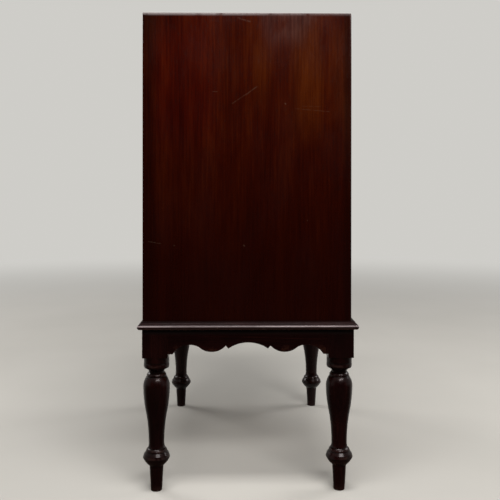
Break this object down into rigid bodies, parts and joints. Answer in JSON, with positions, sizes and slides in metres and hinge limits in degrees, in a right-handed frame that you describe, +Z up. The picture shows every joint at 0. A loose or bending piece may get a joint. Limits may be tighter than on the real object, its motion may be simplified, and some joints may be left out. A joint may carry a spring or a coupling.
{
  "type": "egg collection cabinet on stand",
  "caption": "Tall mahogany collector's cabinet of shallow side-hung drawers, partitioned for birds' eggs, on a stand with turned legs and shaped rails.",
  "frame": {"origin": "on the floor under the middle of the cabinet's plan, at the centre of the moulding's outline", "axes": "+Z up, the drawers open towards -Y, +X to the right as seen from behind the drawers' fronts looking along +Y"},
  "size_m": [0.5386, 0.3936, 0.8602],
  "materials": {
    "case_mahogany": "dark red-brown mahogany, French polished",
    "stand_mahogany": "near-black stained mahogany, polished",
    "drawer_front_mahogany": "red-brown mahogany, French polished",
    "knob_mahogany": "turned mahogany, polished",
    "drawer_cedar": "planed cedar, unpolished",
    "drawer_bottom_cedar": "planed cedar, unpolished",
    "divider_wood": "thin planed cedar strip, unpolished",
    "runner_wood": "planed hardwood strip, waxed",
    "carcase_pine": "planed pine, aged and unpolished",
    "back_board_wood": "stained back boards, dull polish"
  },
  "bodies": {
    "root": {"leg_front_left": "stand_mahogany", "leg_front_right": "stand_mahogany", "leg_back_right": "stand_mahogany", "leg_back_left": "stand_mahogany", "apron_front": "stand_mahogany", "apron_right": "stand_mahogany", "apron_back": "stand_mahogany", "apron_left": "stand_mahogany", "moulding_front": "stand_mahogany", "moulding_right": "stand_mahogany", "moulding_back": "stand_mahogany", "moulding_left": "stand_mahogany", "case_side_right": "case_mahogany", "case_side_left": "case_mahogany", "case_top": "case_mahogany", "case_floor": "carcase_pine", "case_back": "back_board_wood", "drawer_runners_right": "runner_wood", "drawer_runners_left": "runner_wood", "bearer_right": "carcase_pine", "bearer_left": "carcase_pine"},
    "drawer_1": {"drawer_1_front": "drawer_front_mahogany", "drawer_1_box": "drawer_cedar", "drawer_1_bottom": "drawer_bottom_cedar", "drawer_1_dividers": "divider_wood", "drawer_1_knob": "knob_mahogany"},
    "drawer_2": {"drawer_2_front": "drawer_front_mahogany", "drawer_2_box": "drawer_cedar", "drawer_2_bottom": "drawer_bottom_cedar", "drawer_2_dividers": "divider_wood", "drawer_2_knob": "knob_mahogany"},
    "drawer_3": {"drawer_3_front": "drawer_front_mahogany", "drawer_3_box": "drawer_cedar", "drawer_3_bottom": "drawer_bottom_cedar", "drawer_3_dividers": "divider_wood", "drawer_3_knob": "knob_mahogany"},
    "drawer_4": {"drawer_4_front": "drawer_front_mahogany", "drawer_4_box": "drawer_cedar", "drawer_4_bottom": "drawer_bottom_cedar", "drawer_4_dividers": "divider_wood", "drawer_4_knob": "knob_mahogany"},
    "drawer_5": {"drawer_5_front": "drawer_front_mahogany", "drawer_5_box": "drawer_cedar", "drawer_5_bottom": "drawer_bottom_cedar", "drawer_5_dividers": "divider_wood", "drawer_5_knob": "knob_mahogany"},
    "drawer_6": {"drawer_6_front": "drawer_front_mahogany", "drawer_6_box": "drawer_cedar", "drawer_6_bottom": "drawer_bottom_cedar", "drawer_6_dividers": "divider_wood", "drawer_6_knob": "knob_mahogany"},
    "drawer_7": {"drawer_7_front": "drawer_front_mahogany", "drawer_7_box": "drawer_cedar", "drawer_7_bottom": "drawer_bottom_cedar", "drawer_7_dividers": "divider_wood", "drawer_7_knob": "knob_mahogany"}
  },
  "joints": [
    {"name": "drawer_1_slide", "type": "slide", "parent": "root", "child": "drawer_1", "axis": [0, -1, 0], "range_m": [0, 0.26]},
    {"name": "drawer_2_slide", "type": "slide", "parent": "root", "child": "drawer_2", "axis": [0, -1, 0], "range_m": [0, 0.26]},
    {"name": "drawer_3_slide", "type": "slide", "parent": "root", "child": "drawer_3", "axis": [0, -1, 0], "range_m": [0, 0.26]},
    {"name": "drawer_4_slide", "type": "slide", "parent": "root", "child": "drawer_4", "axis": [0, -1, 0], "range_m": [0, 0.26]},
    {"name": "drawer_5_slide", "type": "slide", "parent": "root", "child": "drawer_5", "axis": [0, -1, 0], "range_m": [0, 0.26]},
    {"name": "drawer_6_slide", "type": "slide", "parent": "root", "child": "drawer_6", "axis": [0, -1, 0], "range_m": [0, 0.26]},
    {"name": "drawer_7_slide", "type": "slide", "parent": "root", "child": "drawer_7", "axis": [0, -1, 0], "range_m": [0, 0.26]}
  ]
}
